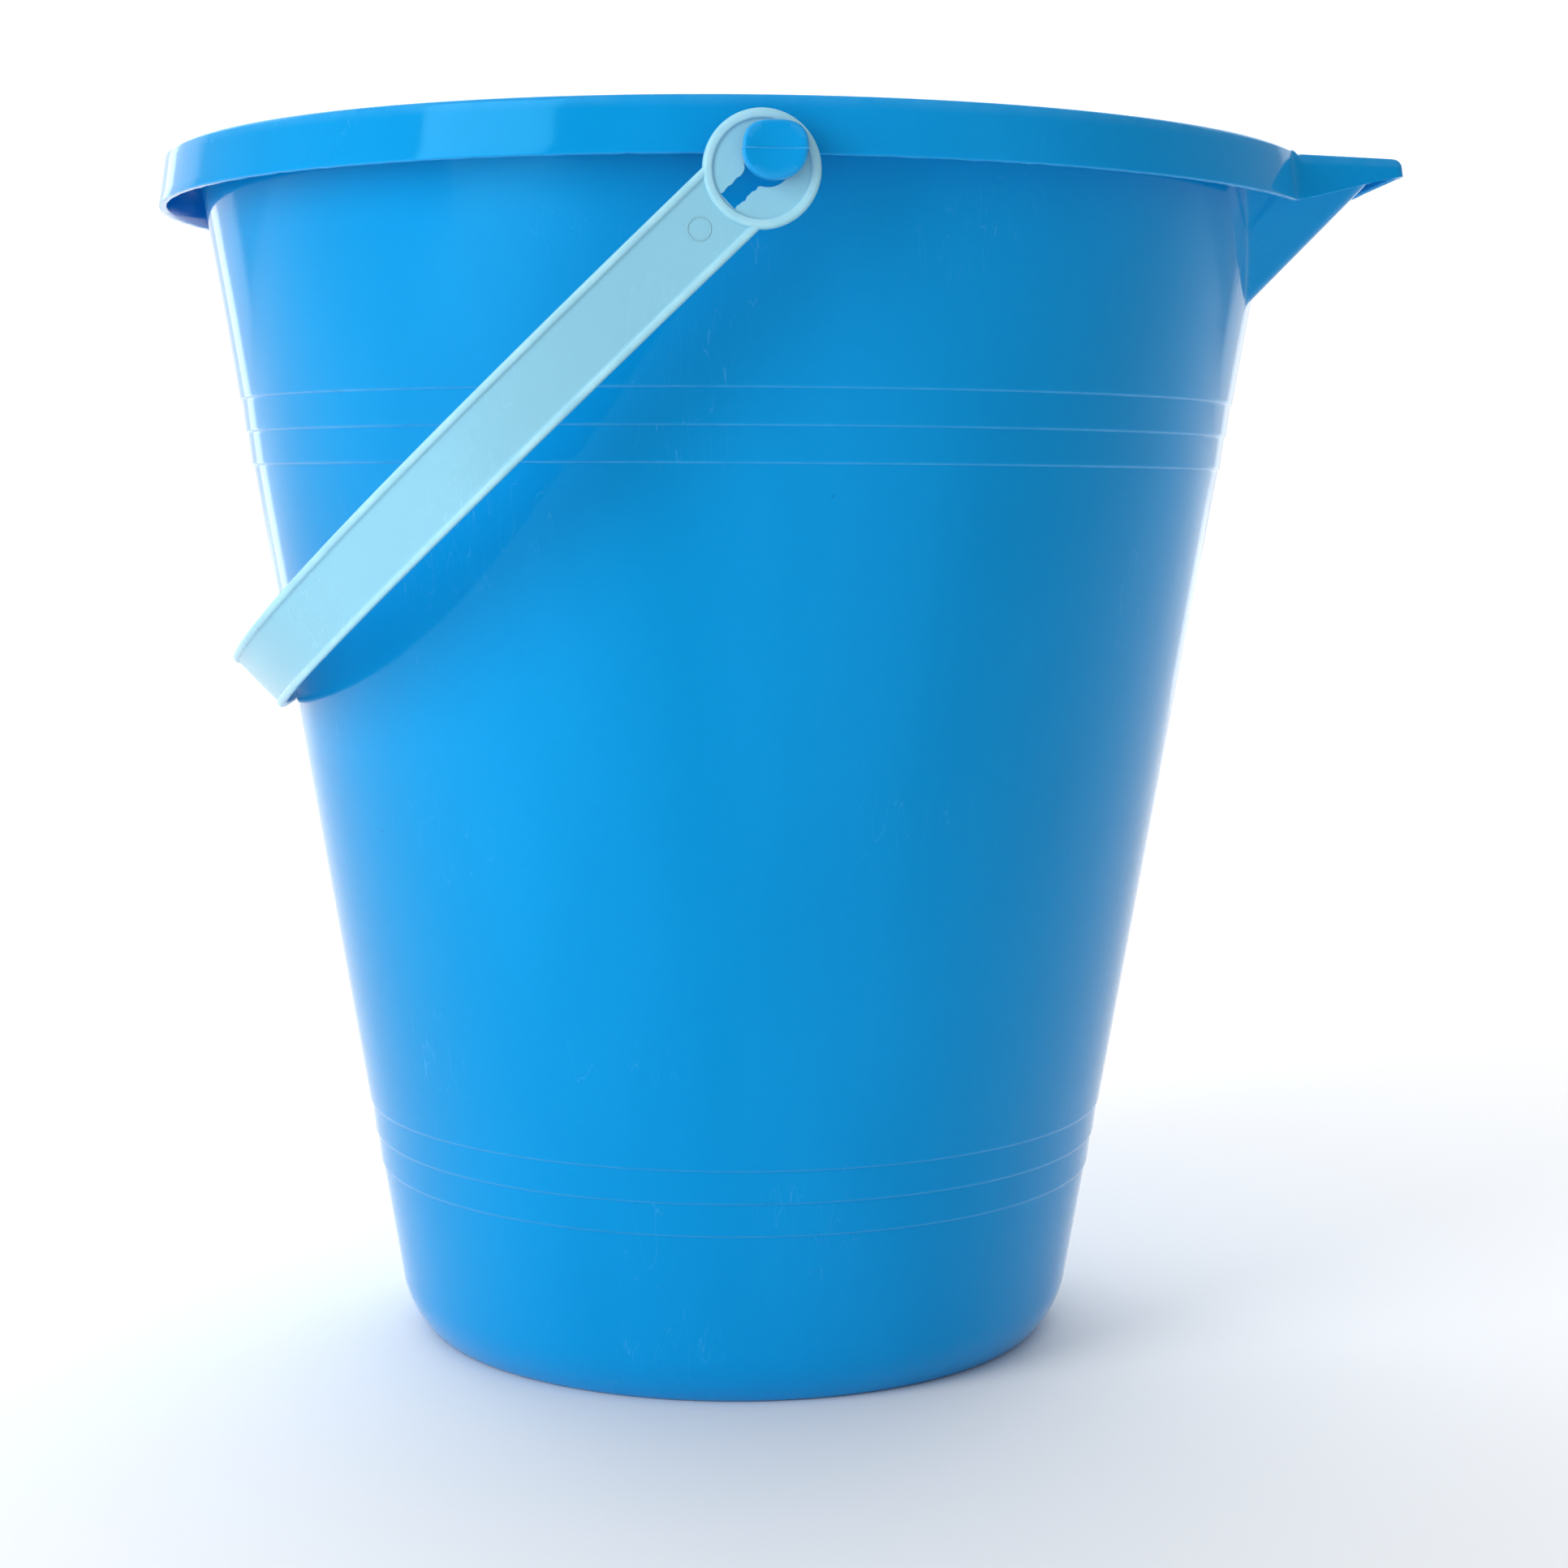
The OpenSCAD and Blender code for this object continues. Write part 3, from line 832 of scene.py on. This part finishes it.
def paint_crest_highlights(handle, s, g):
    """Paints the crests of the ribs and beads a little paler, a painted highlight."""
    h = s.handle
    power = h.curve_power
    co = coordinates(handle)
    x, y = np.maximum(co[:, 0], 0) / g.reach, np.abs(co[:, 1]) / g.ring_y
    share_x, share_y = x ** power, y ** power
    total = np.maximum(share_x + share_y, 1e-6)
    out = (total ** (1 / power) - 1) * total / (share_x / g.reach + share_y / g.ring_y + 1e-9)
    on_ring = np.hypot(co[:, 0] - h.ring_offset, co[:, 2]) < h.ring_r + 0.05 * MM
    out = np.where(on_ring, np.abs(co[:, 1]) - g.ring_y, out)
    crest = np.clip((out - h.strap_t + h.rib_h) / h.rib_h, 0, 1) ** 2
    set_worn_and_highlit(handle, 0.5 * crest)


def model_handle(s):
    """The strap with a ring at each end, a keyhole in each ring and an ejector mark beside it."""
    g = handle_form(s)
    h = s.handle
    strap = model_strap(s, g)
    trim = drum("trim", 128, h.ring_r - h.bead_w / 2, 1, (h.ring_offset, 0, 0))
    combine(strap, trim, "DIFFERENCE")
    with editing(strap):
        select_where(strap, "verts", lambda v: v.co.x < h.ring_offset)
        bpy.ops.mesh.delete(type="VERT")
    ring, tool = model_ring(s, g), model_keyhole(s, g)
    mark = new_from(bpy.ops.mesh.primitive_torus_add, "mark", major_segments=64, minor_segments=8,
                    major_radius=h.mark_r, minor_radius=0.12 * MM, rotation=ALONG_Y)
    place_on_strap(settle(mark), s, g)
    for part, operation in ((ring, "UNION"), (tool, "DIFFERENCE")):
        far = mirrored(part, part.name + "_far")
        combine(strap, part, operation)
        combine(strap, far, operation)
    join(strap, mark, mirrored(mark, "mark_far"))
    strap.name = strap.data.name = "handle"
    paint_crest_highlights(strap, s, g)
    move_points(strap, coordinates(strap) @ np.array(g.matrix.to_3x3()).T + [0, 0, g.hang_z])
    return smooth(outwards(strap), 38)


def place_on_strap(obj, s, g):
    """Moves a flat part from the origin onto the strap's outer face, on the -Y side."""
    h = s.handle
    power = h.curve_power
    face = h.strap_t - h.rib_h
    a, b = g.reach + face, g.ring_y + face
    y = b * (1 - (h.mark_at / a) ** power) ** (1 / power)
    slope = (h.mark_at / a) ** (power - 1) / a, -(y / b) ** (power - 1) / b
    normal = Vector((*slope, 0)).normalized()
    turn = Vector((0, -1, 0)).rotation_difference(normal).to_matrix().to_4x4()
    obj.data.transform(Matrix.Translation((h.mark_at, -y, 0)) @ turn)


# ---------------- plastics

class Nodes:
    """Adds nodes to a material and links them."""

    def __init__(self, name):
        self.material = bpy.data.materials.new(name)
        self.material.use_nodes = True
        self.tree = self.material.node_tree
        self.shader = self.tree.nodes["Principled BSDF"]

    def add(self, kind, *links, **settings):
        """A node of a kind, with its first inputs linked or set, and its properties set."""
        node = self.tree.nodes.new(kind)
        for key, value in settings.items():
            if hasattr(node, key):
                setattr(node, key, value)
            else:
                node.inputs[key.replace("_", " ")].default_value = value
        for i, value in enumerate(links):
            self.feed(node.inputs[i], value)
        return node

    def feed(self, socket, value):
        """Links a socket, or sets its value. None leaves it alone."""
        if isinstance(value, bpy.types.NodeSocket):
            self.tree.links.new(value, socket)
        elif value is not None:
            socket.default_value = value

    def place(self, scale, turn=(0, 0, 0)):
        """Object coordinates, turned and scaled."""
        source = self.add("ShaderNodeTexCoord").outputs["Object"]
        mapping = self.add("ShaderNodeMapping", source)
        mapping.inputs["Rotation"].default_value = turn
        mapping.inputs["Scale"].default_value = scale
        return mapping.outputs[0]

    def noise(self, place, scale, detail=2.0, roughness=0.5, distortion=0.0):
        """A noise pattern from 0 to 1."""
        return self.add("ShaderNodeTexNoise", place, Scale=scale, Detail=detail,
                        Roughness=roughness, Distortion=distortion).outputs["Fac"]

    def ramp(self, value, low, high, start=0.0, end=1.0):
        """Maps a range of a value to another, and holds it within that."""
        return self.add("ShaderNodeMapRange", value, low, high, start, end, clamp=True).outputs[0]

    def math(self, operation, a, b=0.0):
        """A sum, product or other operation on two values."""
        return self.add("ShaderNodeMath", a, b, operation=operation).outputs[0]

    def mix(self, factor, a, b):
        """A colour between two others."""
        node = self.add("ShaderNodeMix", data_type="RGBA")
        self.feed(node.inputs[0], factor)
        self.feed(node.inputs[6], a)
        self.feed(node.inputs[7], b)
        return node.outputs[2]

    def bump(self, height, strength, distance, below=None):
        """A bump from a height, on top of another."""
        node = self.add("ShaderNodeBump", strength, distance)
        self.feed(node.inputs["Height"], height)
        self.feed(node.inputs["Normal"], below)
        return node.outputs[0]


def scratches(n, scale, turn, amount):
    """Sparse fine lines: noise drawn out one way, with only its crests kept."""
    along = n.noise(n.place((scale, scale, scale * 0.02), turn), scale=1, detail=1)
    crest = n.math("ABSOLUTE", n.math("SUBTRACT", along, 0.5))
    line = n.ramp(crest, 0.0, 0.006, 1.0, 0.0)
    patch = n.noise(n.place((1, 1, 1), turn), scale=22, detail=1)
    return n.math("MULTIPLY", line, n.ramp(patch, 0.62 - amount, 0.68 - amount))


def specks(n, scale, size):
    """A few small round specks of dust in the plastic."""
    cells = n.add("ShaderNodeTexVoronoi", n.place((1, 1, 1)), Scale=scale)
    dot = n.ramp(cells.outputs["Distance"], size * 0.6, size, 1.0, 0.0)
    chosen = n.add("ShaderNodeSeparateColor", cells.outputs["Color"])
    return n.math("MULTIPLY", dot, n.ramp(chosen.outputs[0], 0.80, 0.81))


def moulded_plastic(name, body, pale, tint, gloss, depth):
    """Glossy moulded plastic: flow shades, dust specks, fine scratches and a faint ripple."""
    n = Nodes(name)
    whole = n.place((1, 1, 1))
    marks = n.math("MAXIMUM", scratches(n, 330.0, (0.5, 0.9, 0.3), 0.02),
                   scratches(n, 410.0, (1.9, -0.6, 1.2), 0.0))
    chipped = n.ramp(n.noise(whole, scale=160, detail=3, roughness=0.6), 0.3, 0.62)
    # edges, lines and crests marked on the mesh take the pale colour: partly wear, partly painted
    # highlight
    edge = n.add("ShaderNodeAttribute", attribute_name=WORN_AND_HIGHLIT_EDGE).outputs["Fac"]
    edge = n.math("MULTIPLY", edge, n.math("ADD", n.math("MULTIPLY", chipped, 0.45), 0.35))

    flow = n.noise(n.place((1, 1, 0.35)), scale=9, detail=3, roughness=0.55, distortion=0.4)
    deep = [c * 0.90 for c in body] + [1]
    light = [min(1, c * 1.09 + 0.004) for c in body] + [1]
    dust = [c * 0.45 for c in body] + [1]
    shade = n.mix(n.ramp(flow, 0.32, 0.68), deep, light)
    shade = n.mix(n.math("MULTIPLY", marks, 0.22), shade, [*pale, 1])
    shade = n.mix(n.math("MULTIPLY", specks(n, scale=70, size=0.035), 0.35), shade, dust)
    n.feed(n.shader.inputs["Base Color"], n.mix(edge, shade, [*pale, 1]))

    smear = n.noise(n.place((1, 1, 0.5)), scale=26, detail=4, roughness=0.6, distortion=0.8)
    rough = n.ramp(smear, 0.3, 0.75, gloss * 0.82, gloss * 1.22)
    for wear, amount in ((marks, 0.18), (edge, 0.15)):
        rough = n.math("ADD", rough, n.math("MULTIPLY", wear, amount))
    n.feed(n.shader.inputs["Roughness"], rough)

    ripple = n.noise(n.place((1, 1, 0.6)), scale=38, detail=2, roughness=0.5, distortion=0.3)
    normal = n.bump(ripple, 0.35, 0.25 * MM)
    normal = n.bump(n.noise(whole, scale=420, detail=2), 0.22, 0.02 * MM, normal)
    normal = n.bump(n.math("SUBTRACT", 1.0, marks), 0.3, 0.02 * MM, normal)
    n.feed(n.shader.inputs["Normal"], normal)

    plain = {"IOR": 1.49, "Specular IOR Level": 0.22, "Specular Tint": [*tint, 1],
             "Subsurface Weight": 0.25, "Subsurface Radius": (0.5, 0.8, 1.0),
             "Subsurface Scale": depth}
    for socket, value in plain.items():
        n.shader.inputs[socket].default_value = value
    return n.material


def floor_paint(shade):
    """Matt pale paint, with a faint unevenness."""
    n = Nodes("floor_paint")
    tone = n.noise(n.place((1, 1, 1)), scale=3, detail=2)
    darker = [c * 0.985 for c in shade] + [1]
    n.feed(n.shader.inputs["Base Color"], n.mix(tone, darker, [*shade, 1]))
    n.feed(n.shader.inputs["Roughness"], n.ramp(tone, 0, 1, 0.75, 0.85))
    return n.material


def paint(obj, material):
    """Gives the whole piece one material."""
    obj.data.materials.clear()
    obj.data.materials.append(material)
    for face in obj.data.polygons:
        face.material_index = 0


# ---------------- operators

class SANDBUCKET_OT_bucket(bpy.types.Operator):
    """Models the bucket with its rim, spout and pegs"""

    bl_idname = "sand_bucket.bucket"
    bl_label = "Bucket"

    def execute(self, context):
        s = context.scene.sand_bucket
        bucket = smooth(model_shell(s), 50)
        peg = model_peg(s, bucket_form(s))
        join(bucket, peg, mirrored(peg, "far_peg"))
        looks = s.plastics
        paint(bucket, moulded_plastic("bucket_plastic", looks.bucket, looks.bucket_pale,
                                      looks.bucket_sheen, looks.bucket_gloss, 1.5 * MM))
        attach(bucket, "bucket_body")
        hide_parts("bucket")
        bucket.name = "bucket_shell"
        return {"FINISHED"}


class SANDBUCKET_OT_handle(bpy.types.Operator):
    """Models the handle: a ribbed strap with a keyhole ring at each end"""

    bl_idname = "sand_bucket.handle"
    bl_label = "Handle"

    def execute(self, context):
        s = context.scene.sand_bucket
        handle = model_handle(s)
        looks = s.plastics
        paint(handle, moulded_plastic("handle_plastic", looks.handle, looks.handle_pale,
                                      looks.handle_sheen, looks.handle_gloss, 2.5 * MM))
        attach(handle, "handle_body")
        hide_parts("handle")
        handle.name = "strap_handle"
        return {"FINISHED"}


def area_light(name, power, place, size, target=(0, 0, 0.14)):
    """A rectangular soft light that faces a target, by default the bucket's middle."""
    data = bpy.data.lights.new(name, "AREA")
    data.shape = "RECTANGLE"
    data.size, data.size_y = size
    data.energy = power
    light = bpy.data.objects.new(name, data)
    bpy.context.scene.collection.objects.link(light)
    light.location = place
    light.rotation_euler = (Vector(target) - Vector(place)).to_track_quat("-Z", "Y").to_euler()


def white_surround(studio):
    """A white surround behind the bucket, which is dimmer on every other side."""
    world = bpy.data.worlds.new("white_surround")
    world.use_nodes = True
    tree = world.node_tree
    way = tree.nodes.new("ShaderNodeTexCoord").outputs["Generated"]
    facing = tree.nodes.new("ShaderNodeVectorMath")
    facing.operation = "DOT_PRODUCT"
    facing.inputs[1].default_value = (0, 0.95, 0.2)
    tree.links.new(way, facing.inputs[0])
    shade = tree.nodes.new("ShaderNodeMapRange")
    shade.interpolation_type = "SMOOTHSTEP"
    white_from, white_by = 0.65, 0.71
    for i, value in enumerate((white_from, white_by, studio.dim_side, studio.surround), 1):
        shade.inputs[i].default_value = value
    background = tree.nodes["Background"]
    background.inputs["Color"].default_value = (1, 1, 1, 1)
    tree.links.new(facing.outputs["Value"], shade.inputs[0])
    tree.links.new(shade.outputs[0], background.inputs["Strength"])
    return world


def aimed_camera(studio):
    """The camera at its place, turned by its yaw, pitch and roll."""
    data = bpy.data.cameras.new("camera")
    data.sensor_width = 36
    data.lens = studio.lens
    data.clip_start, data.clip_end = 0.01, 20
    camera = bpy.data.objects.new("camera", data)
    bpy.context.scene.collection.objects.link(camera)
    yaw, pitch, roll = studio.yaw, studio.pitch, studio.roll
    ahead = Vector((math.sin(yaw) * math.cos(pitch), math.cos(yaw) * math.cos(pitch),
                    math.sin(pitch)))
    right = Vector((math.cos(yaw), -math.sin(yaw), 0))
    up = right.cross(ahead)
    right, up = (math.cos(roll) * right + math.sin(roll) * up,
                 math.cos(roll) * up - math.sin(roll) * right)
    turn = Matrix((right, up, -ahead)).transposed().to_4x4()
    place = (studio.camera_x, studio.camera_y, studio.camera_z)
    camera.matrix_world = Matrix.Translation(place) @ turn
    return camera


class SANDBUCKET_OT_studio(bpy.types.Operator):
    """Makes the floor, the white surround, the lights and the camera"""

    bl_idname = "sand_bucket.studio"
    bl_label = "Studio"

    def execute(self, context):
        studio = context.scene.sand_bucket.studio
        floor = new_from(bpy.ops.mesh.primitive_plane_add, "studio_floor", size=8)
        paint(floor, floor_paint(studio.floor))

        area_light("key_softbox", studio.key, place=(-0.95, -0.80, 0.50), size=(0.55, 1.0))
        area_light("fill_softbox", studio.fill, place=(0.80, -0.90, 0.45), size=(0.20, 0.9))
        area_light("top_softbox", studio.top, place=(-0.2, -0.2, 1.1), size=(1.2, 1.0))
        area_light("left_strip", studio.strips, place=(-0.62, 1.0, 0.35), size=(0.16, 1.3))
        area_light("right_strip", studio.strips / 3, place=(0.60, 1.0, 0.35), size=(0.16, 1.2))
        area_light("backdrop_light", studio.backdrop, place=(0, 3.6, 1.6), size=(6, 5.8),
                   target=(0, 3.6, 0))

        context.scene.world = white_surround(studio)
        context.scene.camera = aimed_camera(studio)
        context.scene.view_settings.view_transform = "Standard"
        return {"FINISHED"}


class SANDBUCKET_PT_panel(bpy.types.Panel):
    """Lists the pieces and their settings"""

    bl_idname = "SANDBUCKET_PT_panel"
    bl_label = "Sand Bucket"
    bl_space_type = "VIEW_3D"
    bl_region_type = "UI"
    bl_category = "Sand Bucket"

    def draw(self, context):
        s = context.scene.sand_bucket
        for operator, groups in STEPS:
            box = self.layout.box()
            box.operator(operator.bl_idname)
            for group in groups:
                settings = getattr(s, group)
                for name in settings.__annotations__:
                    box.prop(settings, name)


STEPS = (
    (SANDBUCKET_OT_bucket, ("shell", "rim", "lines", "spout", "pegs")),
    (SANDBUCKET_OT_handle, ("handle", "plastics")),
    (SANDBUCKET_OT_studio, ("studio",)),
)
CLASSES = (
    ShellSizes, RimSizes, LineSizes, SpoutSizes, PegSizes, HandleSizes, PlasticLooks,
    StudioSettings, SandBucketSettings, *(operator for operator, _ in STEPS), SANDBUCKET_PT_panel,
)


def register():
    for cls in CLASSES:
        bpy.utils.register_class(cls)
    bpy.types.Scene.sand_bucket = PointerProperty(type=SandBucketSettings)


def unregister():
    del bpy.types.Scene.sand_bucket
    for cls in reversed(CLASSES):
        bpy.utils.unregister_class(cls)


def main():
    register()
    bpy.ops.sand_bucket.bucket()
    bpy.ops.sand_bucket.handle()
    bpy.ops.sand_bucket.studio()


if __name__ == "__main__":
    main()
